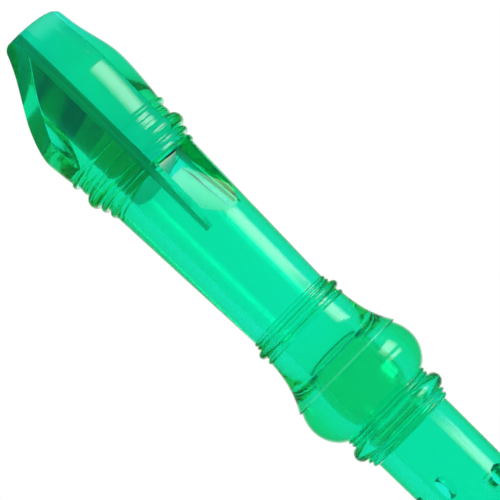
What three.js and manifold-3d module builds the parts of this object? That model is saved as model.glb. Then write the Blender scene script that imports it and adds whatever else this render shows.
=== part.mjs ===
// A descant recorder moulded in clear green plastic, standing upright on its foot with the beak on top.
// Millimetres. +Z runs up the bore. The window and the finger holes face -Y, and the thumb hole faces +Y.
// Four pieces: the head joint, the block inside its beak, the middle joint and the foot joint.
import * as THREE from 'three';
import { mergeVertices } from 'three/addons/utils/BufferGeometryUtils.js';
import Module from 'manifold-3d';

// Facets of turned pieces and drilled holes, and steps of beads and curves
const TURNED_FACETS = 32;
const HOLE_FACETS = 20;
const BEAD_STEPS = 4;
const FINE_RING_STEPS = 2;
const FINE_RING_WIDTH = 1.4;
const CURVE_STEPS = 6;
const SCOOP_STEPS = 20;

// Fits
const TENON_CLEARANCE = 0.1;
const TENON_CHAMFER = 0.5;
const SHOULDER_GAP = 0.1;
const SOCKET_END_GAP = 0.5;
const SOCKET_CHAMFER = 0.5;
const BLOCK_CLEARANCE = 0.08;

// Beak, from its tip down to the first ring
const TIP_RADIUS = 12.5;
const TIP_ROUND = 2;
const BELLY_RADIUS = 15.3;
const BELLY_DEPTH = 18.9;
const BEAK_END_RADIUS = 14.2;
const BEAK_LENGTH = 31.7;

// Hollow under the beak, which leaves the thin upper lip
const LIP_THICKNESS = 5.4;
const SCOOP_RADIUS = 47;
const HEEL_DEPTH = 28.7;

// Rings: the plain gap above each one, its width, its foot's lift off the outline beside it, and its rise.
// The first set sits on the beak's end, the second on the head tube's end and the third on the bulge's end.
const BEAK_MAIN_RING_WIDTH = 3.5;
const NECK_MAIN_RING_WIDTH = 4.15;
const BEAK_RINGS = [
  { gap: 0.1, width: 1.4, lift: -0.25, rise: 0.75 },
  { gap: 1, width: 1.6, lift: -0.55, rise: 0.12 },
  { gap: 0.7, width: BEAK_MAIN_RING_WIDTH, lift: -0.7, rise: 1.4 },
  { gap: 0.25, width: 1.7, lift: -1.25, rise: 0.85 },
  { gap: 0.65, width: 1.8, lift: -1.75, rise: 0.7 },
];
const COLLAR_RINGS = [
  { gap: 0.2, width: 0.9, lift: 0.03, rise: 0.35 },
  { gap: 0.1, width: 0.9, lift: 0.08, rise: 0.45 },
  { gap: 0.2, width: 2.2, lift: 0.28, rise: 1.3 },
  { gap: 0.6, width: 1.3, lift: 0.38, rise: 0.65 },
];
const NECK_RINGS = [
  { gap: 0, width: 1.05, lift: -0.7, rise: 0.7 },
  { gap: 0, width: 1.05, lift: -0.7, rise: 0.6 },
  { gap: 0, width: NECK_MAIN_RING_WIDTH, lift: -0.6, rise: 2.05 },
  { gap: 0.05, width: 1.05, lift: -0.8, rise: 0.8 },
  { gap: 0.05, width: 1.25, lift: -1.05, rise: 0.65 },
];

// Head tube, and the flared lip and the bulge round its socket
const TUBE_TOP_RADIUS = 12.5;
const TUBE_END_RADIUS = 10.92;
const TUBE_LENGTH = 43.1;
const FLARE_TOP_RADIUS = 11.65;
const FLARE_LENGTH = 12.8;
const LIP_RADIUS = 15.4;
const LIP_STEP = 0.5;
const BULGE_RADIUS = 16.1;
const BULGE_RISE_LENGTH = 4.7;
const BULGE_FALL_LENGTH = 7.2;
const BULGE_END_RADIUS = 12.2;

// Windway, window and labium. The roof rises above the bore, the labium rises above the windway's floor, and
// the window's width is across its rim.
const HEAD_BORE_RADIUS = 7.45;
const WINDWAY_LENGTH = 43.4;
const WINDWAY_WIDTH = 10.2;
const WINDWAY_ROOF_RISE = 1.05;
const WINDWAY_HEIGHT = 1.4;
const WINDWAY_CHAMFER = 0.7;
const WINDOW_WIDTH = 12.2;
const CUT_UP = 4.1;
const LABIUM_RISE = 0.4;
const LABIUM_EDGE = 0.25;
const RAMP_LENGTH = 15.5;
const LABIUM_HOLLOW_LENGTH = 14.7;
const LABIUM_HOLLOW_DROP = 1.1;
const BLOCK_END_DROP = 2.8;

// Middle joint between its two shoulders, and its tenons
const MIDDLE_LENGTH = 124;
const MIDDLE_TOP_RADIUS = 10.8;
const MIDDLE_END_RADIUS = 9.6;
const MIDDLE_TOP_BORE = 6.9;
const MIDDLE_END_BORE = 5.4;
const HEAD_TENON_LENGTH = 23.5;
const HEAD_TENON_RADIUS = 8.9;
const FOOT_TENON_LENGTH = 13.5;
const FOOT_TENON_RADIUS = 7.9;

// Holes: the depth down from the middle joint's upper shoulder, and the diameter
const THUMB_HOLE_DEPTH = 14.7;
const THUMB_HOLE_DIAMETER = 6;
const FIRST_HOLE_DEPTH = 20.9;
const FIRST_HOLE_DIAMETER = 5.5;
const SECOND_HOLE_DEPTH = 39.5;
const SECOND_HOLE_DIAMETER = 5.8;
const THIRD_HOLE_DEPTH = 57.5;
const THIRD_HOLE_DIAMETER = 5.4;
const FOURTH_HOLE_DEPTH = 82.5;
const FOURTH_HOLE_DIAMETER = 5.8;
const FIFTH_HOLE_DEPTH = 100;
const FIFTH_HOLE_DIAMETER = 5.6;
const TWIN_HOLE_DEPTH = 118;
const TWIN_HOLE_DIAMETER = 3.2;
const TWIN_HOLE_SPACING = 4.6;

// Foot joint, from its rim down to its base. Its rings sit on its bulge, on both tube ends and on its bell.
const FOOT_RIM_RINGS = [
  { gap: 0, width: 1.2, lift: -0.6, rise: 0.5 },
  { gap: 0.2, width: 1.2, lift: -0.4, rise: 0.8 },
];
const FOOT_BULGE_RADIUS = 13.6;
const FOOT_BULGE_TOP_RADIUS = 11.6;
const FOOT_BULGE_RISE_LENGTH = 4.6;
const FOOT_BULGE_FALL_LENGTH = 7.4;
const FOOT_BULGE_END_RADIUS = 11;
const FOOT_NECK_RINGS = [
  { gap: 0.2, width: 0.9, lift: 0.2, rise: 0.5 },
  { gap: 0.2, width: 0.9, lift: 0.2, rise: 0.5 },
];
const FOOT_TUBE_TOP_RADIUS = 10.4;
const FOOT_TUBE_END_RADIUS = 9.6;
const FOOT_TUBE_LENGTH = 23.2;
const FOOT_HOLE_DEPTH = 20;
const FOOT_COLLAR_RINGS = [
  { gap: 0, width: 1, lift: 0, rise: 0.5 },
  { gap: 0.2, width: 2.2, lift: 0.1, rise: 1.3 },
  { gap: 0.2, width: 1, lift: 0.2, rise: 0.5 },
];
const BELL_TOP_RADIUS = 9.9;
const BELL_RADIUS = 13;
const BELL_LENGTH = 17.4;
const BELL_RINGS = [{ gap: 0, width: 2.6, lift: -0.2, rise: 0.9 }];
const BASE_RADIUS = 12.6;
const BASE_HEIGHT = 4;
const BASE_CHAMFER = 0.8;
const FOOT_BORE_RADIUS = 5.3;
const FOOT_MOUTH_CHAMFER = 1;

// Curve handles, as shares of the stretch that they bend, and the sweep of the arcs
const BEAK_LEAVE = { along: 0.45, across: 0.22 };
const BEAK_ARRIVE = 0.67;
const BELLY_LEAVE = 0.33;
const FLARE_EASE = { along: 0.58, across: 0.13 };
const BULGE_RISE_SWEEP = THREE.MathUtils.degToRad(30);
const BULGE_FALL_SWEEP = THREE.MathUtils.degToRad(60);
const SCOOP_OVERRUN = THREE.MathUtils.degToRad(12);

// How far a cut runs past the face that it opens
const CUT_OVERRUN = 1;

// Depths down the head joint from its tip, and down the foot joint from its rim
const ringsLength = (rings) => rings.reduce((length, ring) => length + ring.gap + ring.width, 0);
const beakRingsEnd = BEAK_LENGTH + ringsLength(BEAK_RINGS);
const tubeEnd = beakRingsEnd + TUBE_LENGTH;
const collarEnd = tubeEnd + ringsLength(COLLAR_RINGS);
const lipDepth = collarEnd + FLARE_LENGTH;
const bulgeDepth = lipDepth + BULGE_RISE_LENGTH;
const bulgeEnd = bulgeDepth + BULGE_FALL_LENGTH;
const headLength = bulgeEnd + ringsLength(NECK_RINGS);
const footRimEnd = ringsLength(FOOT_RIM_RINGS);
const footBulgeDepth = footRimEnd + FOOT_BULGE_RISE_LENGTH;
const footBulgeEnd = footBulgeDepth + FOOT_BULGE_FALL_LENGTH;
const footNeckEnd = footBulgeEnd + ringsLength(FOOT_NECK_RINGS);
const footTubeEnd = footNeckEnd + FOOT_TUBE_LENGTH;
const footCollarEnd = footTubeEnd + ringsLength(FOOT_COLLAR_RINGS);
const bellEnd = footCollarEnd + BELL_LENGTH;
const bellRingsEnd = bellEnd + ringsLength(BELL_RINGS);
const footLength = bellRingsEnd + BASE_HEIGHT;

// Distances of the windway's faces and the labium forward of the bore's axis
const windwayRoof = HEAD_BORE_RADIUS + WINDWAY_ROOF_RISE;
const windwayFloor = windwayRoof - WINDWAY_HEIGHT;
const labiumFront = windwayFloor + LABIUM_RISE;

const wasm = await Module();
wasm.setup();

// Solids. Each piece is made with z = 0 at its own upper end or shoulder, and depths run down from there.

const at = (radius, depth) => new THREE.Vector2(radius, depth);

function solidOf(geometry) {
  const bare = geometry.clone();
  bare.deleteAttribute('normal');
  bare.deleteAttribute('uv');
  const merged = mergeVertices(bare);
  const corners = merged.index.array;
  const triangles = [];
  for (let i = 0; i < corners.length; i += 3) {
    const [a, b, c] = corners.slice(i, i + 3);
    if (a !== b && b !== c && c !== a) triangles.push(a, b, c);
  }
  const vertProperties = new Float32Array(merged.attributes.position.array);
  const triVerts = new Uint32Array(triangles);
  return new wasm.Manifold(new wasm.Mesh({ numProp: 3, vertProperties, triVerts }));
}

function geometryOf(solid) {
  const mesh = solid.getMesh();
  const geometry = new THREE.BufferGeometry();
  geometry.setAttribute('position', new THREE.BufferAttribute(new Float32Array(mesh.vertProperties), 3));
  geometry.setIndex(new THREE.BufferAttribute(new Uint32Array(mesh.triVerts), 1));
  geometry.computeVertexNormals();
  return geometry;
}

// A turned solid, from a closed outline of (radius, depth) that runs down its outer side first
function turned(outline) {
  const points = [];
  for (const point of [...outline, outline[0]]) {
    const corner = new THREE.Vector2(point.x, -point.y);
    if (!points.length || corner.distanceTo(points.at(-1)) > 1e-6) points.push(corner);
  }
  points.reverse();
  return solidOf(new THREE.LatheGeometry(points, TURNED_FACETS).rotateX(Math.PI / 2));
}

// A prism across the recorder, from its side outline of (distance forward of the axis, depth). With a slope,
// both its sides lean outward as it goes forward, and its width is the one at the distance given.
function crossPrism(outline, width, { slope = 0, from = 0 } = {}) {
  const shape = new THREE.Shape(outline.map((point) => new THREE.Vector2(point.x, -point.y)));
  const geometry = new THREE.ExtrudeGeometry(shape, { depth: width, bevelEnabled: false });
  geometry.translate(0, 0, -width / 2);
  const corners = geometry.attributes.position;
  for (let i = 0; i < corners.count; i++) {
    const side = corners.getZ(i);
    corners.setZ(i, side + Math.sign(side) * slope * (corners.getX(i) - from));
  }
  const forward = new THREE.Vector3(0, -1, 0);
  const up = new THREE.Vector3(0, 0, 1);
  const across = forward.clone().cross(up);
  return solidOf(geometry.applyMatrix4(new THREE.Matrix4().makeBasis(forward, up, across)));
}

// A drill from the axis out through one wall: forward for the fingers, backward for the thumb
function drill(depth, diameter, radius, { x = 0, backward = false } = {}) {
  const reach = radius + CUT_OVERRUN;
  const geometry = new THREE.CylinderGeometry(diameter / 2, diameter / 2, reach, HOLE_FACETS);
  return solidOf(geometry.translate(x, backward ? reach / 2 : -reach / 2, -depth));
}

function twinDrills(depth, radius) {
  const x = TWIN_HOLE_SPACING / 2;
  return [-x, x].map((shift) => drill(depth, TWIN_HOLE_DIAMETER, radius, { x: shift }));
}

// Outlines, as lists of (radius, depth)

// Rings on an outline of the radius given. Each one is a turned bead, half an ellipse in section.
function ringsOutline(rings, radius, topDepth) {
  const points = [];
  let depth = topDepth;
  for (const ring of rings) {
    const base = radius + ring.lift;
    points.push(at(base, depth));
    depth += ring.gap;
    const steps = ring.width < FINE_RING_WIDTH ? FINE_RING_STEPS : BEAD_STEPS;
    for (let step = 0; step <= steps; step++) {
      const angle = (Math.PI * step) / steps;
      const along = (ring.width * (1 - Math.cos(angle))) / 2;
      points.push(at(base + ring.rise * Math.sin(angle), depth + along));
    }
    depth += ring.width;
  }
  return points;
}

// An elliptical arc from the fullest place of a bulge to one end of it
function swellOutline(peak, end, sweep) {
  const points = [];
  for (let step = 0; step <= CURVE_STEPS; step++) {
    const angle = (sweep * step) / CURVE_STEPS;
    const across = (1 - Math.cos(angle)) / (1 - Math.cos(sweep));
    const along = Math.sin(angle) / Math.sin(sweep);
    points.push(at(peak.x + (end.x - peak.x) * across, peak.y + (end.y - peak.y) * along));
  }
  return points;
}

function bulgeOutline(top, peak, end) {
  const rise = swellOutline(peak, top, BULGE_RISE_SWEEP).reverse();
  return [...rise, ...swellOutline(peak, end, BULGE_FALL_SWEEP)];
}

function flareOutline(top, end) {
  const ease = at(top.x + (end.x - top.x) * FLARE_EASE.across, top.y + (end.y - top.y) * FLARE_EASE.along);
  return new THREE.QuadraticBezierCurve(top, ease, end).getPoints(CURVE_STEPS);
}

function beakOutline() {
  const tip = at(TIP_RADIUS, TIP_ROUND);
  const belly = at(BELLY_RADIUS, BELLY_DEPTH);
  const end = at(BEAK_END_RADIUS, BEAK_LENGTH);
  const swell = belly.clone().sub(tip);
  const leave = at(tip.x + swell.x * BEAK_LEAVE.across, tip.y + swell.y * BEAK_LEAVE.along);
  const arrive = at(belly.x, tip.y + swell.y * BEAK_ARRIVE);
  const ease = at(belly.x, belly.y + (end.y - belly.y) * BELLY_LEAVE);
  const roundedEdge = [];
  for (let step = 0; step < BEAD_STEPS; step++) {
    const angle = (Math.PI / 2) * (step / BEAD_STEPS);
    roundedEdge.push(at(tip.x - TIP_ROUND * (1 - Math.sin(angle)), TIP_ROUND * (1 - Math.cos(angle))));
  }
  return [
    ...roundedEdge,
    ...new THREE.CubicBezierCurve(tip, leave, arrive, belly).getPoints(CURVE_STEPS),
    ...new THREE.QuadraticBezierCurve(belly, ease, end).getPoints(CURVE_STEPS),
  ];
}

// Head joint and block

// The cylinder that hollows the beak's underside, through the lip at the tip and the heel at the back
function beakScoop() {
  const lip = at(TIP_RADIUS - LIP_THICKNESS, 0);
  const heel = at(-BEAK_END_RADIUS, HEEL_DEPTH);
  const chord = heel.clone().sub(lip);
  const outward = at(-chord.y, chord.x).normalize();
  const reach = Math.sqrt(SCOOP_RADIUS ** 2 - chord.lengthSq() / 4);
  const centre = lip.clone().add(heel).multiplyScalar(0.5).addScaledVector(outward, reach);
  const start = Math.atan2(lip.y - centre.y, lip.x - centre.x) - SCOOP_OVERRUN;
  const end = Math.atan2(heel.y - centre.y, heel.x - centre.x) + SCOOP_OVERRUN;
  const outline = [centre];
  for (let step = 0; step <= SCOOP_STEPS; step++) {
    const angle = start + ((end - start) * step) / SCOOP_STEPS;
    outline.push(at(Math.cos(angle), Math.sin(angle)).multiplyScalar(SCOOP_RADIUS).add(centre));
  }
  return crossPrism(outline, 2 * (BELLY_RADIUS + CUT_OVERRUN));
}

// The air's way through the head: the windway's slot and the hollow below the labium that runs out into the
// bore, and the window with the ramp above the labium, whose side walls lean outward
function airway() {
  const edgeDepth = WINDWAY_LENGTH + CUT_UP;
  const crestDepth = edgeDepth + RAMP_LENGTH;
  const tubeShare = (crestDepth - beakRingsEnd) / TUBE_LENGTH;
  const crest = THREE.MathUtils.lerp(TUBE_TOP_RADIUS, TUBE_END_RADIUS, tubeShare);
  const clear = BULGE_RADIUS + CUT_OVERRUN;
  const clearDepth = edgeDepth + (RAMP_LENGTH * (clear - labiumFront)) / (crest - labiumFront);
  const hollowEnd = edgeDepth + LABIUM_HOLLOW_LENGTH;
  const slotOutline = [
    at(0, -CUT_OVERRUN),
    at(windwayRoof, -CUT_OVERRUN),
    at(windwayRoof, WINDWAY_LENGTH - WINDWAY_CHAMFER),
    at(windwayRoof + WINDWAY_CHAMFER, WINDWAY_LENGTH),
    at(windwayRoof + WINDWAY_CHAMFER, edgeDepth),
    at(labiumFront - LABIUM_EDGE, edgeDepth),
    at(HEAD_BORE_RADIUS - LABIUM_HOLLOW_DROP, hollowEnd),
    at(0, hollowEnd),
  ];
  const slot = crossPrism(slotOutline, WINDWAY_WIDTH);
  const rimFront = Math.sqrt(TUBE_TOP_RADIUS ** 2 - (WINDOW_WIDTH / 2) ** 2);
  const slope = (WINDOW_WIDTH - WINDWAY_WIDTH) / 2 / (rimFront - labiumFront);
  const windowOutline = [
    at(labiumFront, WINDWAY_LENGTH),
    at(clear, WINDWAY_LENGTH),
    at(clear, clearDepth),
    at(labiumFront, edgeDepth),
  ];
  return slot.add(crossPrism(windowOutline, WINDWAY_WIDTH, { slope, from: labiumFront }));
}

function headJoint() {
  const socketRadius = HEAD_TENON_RADIUS + TENON_CLEARANCE;
  const socketFloor = headLength + SHOULDER_GAP - HEAD_TENON_LENGTH - SOCKET_END_GAP;
  const section = [
    ...beakOutline(),
    ...ringsOutline(BEAK_RINGS, BEAK_END_RADIUS, BEAK_LENGTH),
    at(TUBE_TOP_RADIUS, beakRingsEnd),
    at(TUBE_END_RADIUS, tubeEnd),
    ...ringsOutline(COLLAR_RINGS, TUBE_END_RADIUS, tubeEnd),
    ...flareOutline(at(FLARE_TOP_RADIUS, collarEnd), at(LIP_RADIUS, lipDepth)),
    ...bulgeOutline(
      at(LIP_RADIUS - LIP_STEP, lipDepth),
      at(BULGE_RADIUS, bulgeDepth),
      at(BULGE_END_RADIUS, bulgeEnd),
    ),
    ...ringsOutline(NECK_RINGS, BULGE_END_RADIUS, bulgeEnd),
    at(socketRadius + SOCKET_CHAMFER, headLength),
    at(socketRadius, headLength - SOCKET_CHAMFER),
    at(socketRadius, socketFloor),
    at(HEAD_BORE_RADIUS, socketFloor),
    at(HEAD_BORE_RADIUS, 0),
  ];
  return turned(section).subtract(airway()).subtract(beakScoop());
}

// A plug in the bore with a ridge in the windway's slot, both cut level along the windway's floor. Its lower
// end slopes down from the window towards the back.
function block() {
  const radius = HEAD_BORE_RADIUS - BLOCK_CLEARANCE;
  const clear = windwayFloor + HEAD_BORE_RADIUS;
  const end = WINDWAY_LENGTH + BLOCK_END_DROP;
  const plug = turned([at(0, 0), at(radius, 0), at(radius, end), at(0, end)]);
  const ridgeOutline = [at(0, 0), at(clear, 0), at(clear, end), at(0, end)];
  const ridge = crossPrism(ridgeOutline, WINDWAY_WIDTH - 2 * BLOCK_CLEARANCE);
  const windwayOutline = [
    at(windwayFloor, -CUT_OVERRUN),
    at(clear + CUT_OVERRUN, -CUT_OVERRUN),
    at(clear + CUT_OVERRUN, WINDWAY_LENGTH + CUT_OVERRUN),
    at(windwayFloor - WINDWAY_CHAMFER - CUT_OVERRUN, WINDWAY_LENGTH + CUT_OVERRUN),
    at(windwayFloor, WINDWAY_LENGTH - WINDWAY_CHAMFER),
  ];
  const width = 2 * (WINDWAY_WIDTH + CUT_OVERRUN);
  const slope = BLOCK_END_DROP / (windwayFloor + radius);
  const endAt = (front) => at(front, WINDWAY_LENGTH + (windwayFloor - front) * slope);
  const below = end + HEAD_BORE_RADIUS;
  const endOutline = [endAt(clear), at(clear, below), at(-clear, below), endAt(-clear)];
  const cutters = [crossPrism(windwayOutline, width), crossPrism(endOutline, width), beakScoop()];
  return cutters.reduce((solid, cutter) => solid.subtract(cutter), plug.add(ridge));
}

// Middle joint, with depths from its upper shoulder

function middleJoint() {
  const tenonEnd = MIDDLE_LENGTH + FOOT_TENON_LENGTH;
  const section = [
    at(HEAD_TENON_RADIUS - TENON_CHAMFER, -HEAD_TENON_LENGTH),
    at(HEAD_TENON_RADIUS, TENON_CHAMFER - HEAD_TENON_LENGTH),
    at(HEAD_TENON_RADIUS, 0),
    at(MIDDLE_TOP_RADIUS, 0),
    at(MIDDLE_END_RADIUS, MIDDLE_LENGTH),
    at(FOOT_TENON_RADIUS, MIDDLE_LENGTH),
    at(FOOT_TENON_RADIUS, tenonEnd - TENON_CHAMFER),
    at(FOOT_TENON_RADIUS - TENON_CHAMFER, tenonEnd),
    at(MIDDLE_END_BORE, tenonEnd),
    at(MIDDLE_TOP_BORE, -HEAD_TENON_LENGTH),
  ];
  const reach = Math.max(MIDDLE_TOP_RADIUS, MIDDLE_END_RADIUS);
  const drills = [
    drill(THUMB_HOLE_DEPTH, THUMB_HOLE_DIAMETER, reach, { backward: true }),
    drill(FIRST_HOLE_DEPTH, FIRST_HOLE_DIAMETER, reach),
    drill(SECOND_HOLE_DEPTH, SECOND_HOLE_DIAMETER, reach),
    drill(THIRD_HOLE_DEPTH, THIRD_HOLE_DIAMETER, reach),
    drill(FOURTH_HOLE_DEPTH, FOURTH_HOLE_DIAMETER, reach),
    drill(FIFTH_HOLE_DEPTH, FIFTH_HOLE_DIAMETER, reach),
    ...twinDrills(TWIN_HOLE_DEPTH, reach),
  ];
  return drills.reduce((tube, cutter) => tube.subtract(cutter), turned(section));
}

// Foot joint

function footJoint() {
  const socketRadius = FOOT_TENON_RADIUS + TENON_CLEARANCE;
  const socketFloor = FOOT_TENON_LENGTH - SHOULDER_GAP + SOCKET_END_GAP;
  const section = [
    ...ringsOutline(FOOT_RIM_RINGS, FOOT_BULGE_TOP_RADIUS, 0),
    ...bulgeOutline(
      at(FOOT_BULGE_TOP_RADIUS, footRimEnd),
      at(FOOT_BULGE_RADIUS, footBulgeDepth),
      at(FOOT_BULGE_END_RADIUS, footBulgeEnd),
    ),
    ...ringsOutline(FOOT_NECK_RINGS, FOOT_TUBE_TOP_RADIUS, footBulgeEnd),
    at(FOOT_TUBE_TOP_RADIUS, footNeckEnd),
    at(FOOT_TUBE_END_RADIUS, footTubeEnd),
    ...ringsOutline(FOOT_COLLAR_RINGS, FOOT_TUBE_END_RADIUS, footTubeEnd),
    ...flareOutline(at(BELL_TOP_RADIUS, footCollarEnd), at(BELL_RADIUS, bellEnd)),
    ...ringsOutline(BELL_RINGS, BELL_RADIUS, bellEnd),
    at(BASE_RADIUS, bellRingsEnd),
    at(BASE_RADIUS, footLength - BASE_CHAMFER),
    at(BASE_RADIUS - BASE_CHAMFER, footLength),
    at(FOOT_BORE_RADIUS + FOOT_MOUTH_CHAMFER, footLength),
    at(FOOT_BORE_RADIUS, footLength - FOOT_MOUTH_CHAMFER),
    at(FOOT_BORE_RADIUS, socketFloor),
    at(socketRadius, socketFloor),
    at(socketRadius, SOCKET_CHAMFER),
    at(socketRadius + SOCKET_CHAMFER, 0),
  ];
  const drills = twinDrills(FOOT_HOLE_DEPTH, FOOT_BULGE_RADIUS);
  return drills.reduce((tube, cutter) => tube.subtract(cutter), turned(section));
}

// The recorder put together, standing on its foot

const CLEAR_GREEN = { color: 0x12d89a, roughness: 0.08, metalness: 0, transparent: true, opacity: 0.7 };
const SHADED_GREEN = { color: 0x0b8a5c, roughness: 0.12, metalness: 0, transparent: true, opacity: 0.8 };

function piece(name, solid, finish) {
  const mesh = new THREE.Mesh(geometryOf(solid), new THREE.MeshStandardMaterial(finish));
  mesh.name = name;
  return mesh;
}

const foot = piece('foot_joint', footJoint(), CLEAR_GREEN);
foot.position.z = footLength;

const middle = piece('middle_joint', middleJoint(), CLEAR_GREEN);
middle.position.z = foot.position.z + SHOULDER_GAP + MIDDLE_LENGTH;

const head = new THREE.Group();
head.position.z = middle.position.z + SHOULDER_GAP + headLength;
head.add(piece('head_joint', headJoint(), CLEAR_GREEN), piece('block', block(), SHADED_GREEN));

const recorder = new THREE.Group();
recorder.add(foot, middle, head);

export default recorder;
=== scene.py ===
"""A descant recorder moulded in clear green plastic, dressed for its portrait.

Metres. +Z runs up the bore, the window and the finger holes face -Y, and the foot's base is at z = 0.
"""

import math

import bmesh
import bpy
from mathutils import Matrix, Vector


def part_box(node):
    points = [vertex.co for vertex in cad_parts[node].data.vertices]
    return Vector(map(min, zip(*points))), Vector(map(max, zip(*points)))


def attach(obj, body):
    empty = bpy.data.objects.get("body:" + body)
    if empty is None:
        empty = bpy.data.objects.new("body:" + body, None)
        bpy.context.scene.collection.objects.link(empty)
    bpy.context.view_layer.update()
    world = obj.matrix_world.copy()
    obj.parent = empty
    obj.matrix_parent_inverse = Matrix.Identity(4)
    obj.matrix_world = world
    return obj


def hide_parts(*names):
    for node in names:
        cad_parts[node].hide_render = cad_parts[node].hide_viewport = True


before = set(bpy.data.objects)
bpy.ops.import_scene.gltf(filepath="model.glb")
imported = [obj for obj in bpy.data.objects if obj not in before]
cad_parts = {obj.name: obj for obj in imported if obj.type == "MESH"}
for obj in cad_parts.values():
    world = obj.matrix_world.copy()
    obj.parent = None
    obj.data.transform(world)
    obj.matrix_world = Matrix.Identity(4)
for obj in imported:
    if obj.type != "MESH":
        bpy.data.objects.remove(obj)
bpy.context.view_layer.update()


# Head joint
# The upper third of the recorder, one moulding in clear green plastic. It has the beak, the windway's roof,
# the window with its ramp, turned rings, and a swollen socket that slides on the middle joint's tenon.

HEAD_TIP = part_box("head_joint")[1].z
HEAD_LENGTH = HEAD_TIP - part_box("head_joint")[0].z

# The beak, and the shares of its rise and length at which the handles of its curves lie
TIP_RADIUS = 0.0125
TIP_ROUND = 0.002
BELLY_RADIUS = 0.0153
BELLY_DEPTH = 0.0189
BEAK_END_RADIUS = 0.0142
BEAK_LENGTH = 0.0317
TIP_HANDLE_RISE = 0.22
TIP_HANDLE_REACH = 0.45
BELLY_UPPER_REACH = 0.67
BELLY_LOWER_REACH = 0.33

# The hollow under the beak, from its lip to its heel
BEAK_LIP_THICKNESS = 0.0054
SCOOP_RADIUS = 0.047
SCOOP_OVERRUN = math.radians(12)
HEEL_DEPTH = 0.0287

# Each ring: the plain gap above it, its width, the radius beside it and its rise
BEAK_RINGS = [
    (0.0001, 0.0014, 0.01395, 0.00075),
    (0.001, 0.0016, 0.01365, 0.00012),
    (0.0007, 0.0035, 0.0135, 0.0014),
    (0.00025, 0.0017, 0.01295, 0.00085),
    (0.00065, 0.0018, 0.01245, 0.0007),
]
COLLAR_RINGS = [
    (0.0002, 0.0009, 0.01095, 0.00035),
    (0.0001, 0.0009, 0.011, 0.00045),
    (0.0002, 0.0022, 0.0112, 0.0013),
    (0.0006, 0.0013, 0.0113, 0.00065),
]
NECK_RINGS = [
    (0, 0.00105, 0.0115, 0.0007),
    (0, 0.00105, 0.0115, 0.0006),
    (0, 0.00415, 0.0116, 0.00205),
    (0.00005, 0.00105, 0.0114, 0.0008),
    (0.00005, 0.00125, 0.01115, 0.00065),
]

# The tube, the flare below its collar, and the lip and the bulge of the socket
TUBE_TOP_RADIUS = 0.0125
TUBE_END_RADIUS = 0.01092
TUBE_LENGTH = 0.0431
FLARE_TOP_RADIUS = 0.01165
FLARE_LENGTH = 0.0128
FLARE_HANDLE_RISE = 0.13
FLARE_HANDLE_REACH = 0.58
SOCKET_LIP_RADIUS = 0.0154
SOCKET_LIP_STEP = 0.0005
SOCKET_LIP_ROUND = 0.0003
SOCKET_LIP_TILT = math.radians(-31)
BULGE_RADIUS = 0.0161
BULGE_RISE_LENGTH = 0.0047
BULGE_FALL_LENGTH = 0.0072
BULGE_END_RADIUS = 0.0122
BULGE_RISE_SWEEP = math.radians(30)
BULGE_FALL_SWEEP = math.radians(60)

# The bore and the socket for the tenon
HEAD_BORE_RADIUS = 0.00745
HEAD_SOCKET_RADIUS = 0.009
SOCKET_CHAMFER = 0.0005
SOCKET_END_GAP = 0.0005

# The windway, the window, the ramp down to the labium, and the hollow below the labium
WINDWAY_LENGTH = 0.0434
WINDWAY_WIDTH = 0.0102
WINDWAY_ROOF = 0.0085
WINDWAY_FLOOR = 0.0071
WINDWAY_CHAMFER = 0.0007
WINDOW_WIDTH = 0.0122
LABIUM_DEPTH = 0.0475
LABIUM_FRONT = 0.0075
LABIUM_EDGE = 0.00025
RAMP_LENGTH = 0.0155
LABIUM_HOLLOW_LENGTH = 0.0147
LABIUM_HOLLOW_FRONT = 0.00635
CUT_OVERRUN = 0.001

# How finely the pieces are turned and drilled
TURNED_FACETS = 224
HOLE_FACETS = 96
BEAD_STEPS = 12
CURVE_STEPS = 16
SCOOP_STEPS = 96
SHARP_ANGLE = math.radians(28)
WELD_DISTANCE = 1e-6


def between(start, end, share):
    return start + (end - start) * share


def ring_beads(rings, depth):
    """Turned beads, each half an ellipse in section, one below the other."""
    points = []
    for gap, width, base, rise in rings:
        points.append((base, depth))
        depth += gap
        for step in range(BEAD_STEPS + 1):
            angle = math.pi * step / BEAD_STEPS
            points.append((base + rise * math.sin(angle), depth + width * (1 - math.cos(angle)) / 2))
        depth += width
    return points


def rings_length(rings):
    return sum(gap + width for gap, width, base, rise in rings)


def rounded_edge(radius, depth, rounding, start, end):
    """An arc about a point of the outline, between two angles that turn from outwards to downwards."""
    points = []
    for step in range(BEAD_STEPS + 1):
        angle = between(start, end, step / BEAD_STEPS)
        points.append((radius + rounding * math.cos(angle), depth + rounding * math.sin(angle)))
    return points


def bezier(*handles):
    """Points along a Bezier curve of any order."""
    points = []
    order = len(handles) - 1
    for step in range(CURVE_STEPS + 1):
        t = step / CURVE_STEPS
        shares = [math.comb(order, k) * t**k * (1 - t) ** (order - k) for k in range(order + 1)]
        points.append(tuple(sum(s * h[axis] for s, h in zip(shares, handles)) for axis in (0, 1)))
    return points


def swell(peak, end, sweep):
    """An elliptical arc from the fullest place of a bulge to one end of it."""
    points = []
    for step in range(CURVE_STEPS + 1):
        angle = sweep * step / CURVE_STEPS
        across = (1 - math.cos(angle)) / (1 - math.cos(sweep))
        along = math.sin(angle) / math.sin(sweep)
        points.append((between(peak[0], end[0], across), between(peak[1], end[1], along)))
    return points


def bulge(top, peak, end):
    return swell(peak, top, BULGE_RISE_SWEEP)[::-1] + swell(peak, end, BULGE_FALL_SWEEP)


def flare(top, end):
    handle = (between(top[0], end[0], FLARE_HANDLE_RISE), between(top[1], end[1], FLARE_HANDLE_REACH))
    return bezier(top, handle, end)


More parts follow.
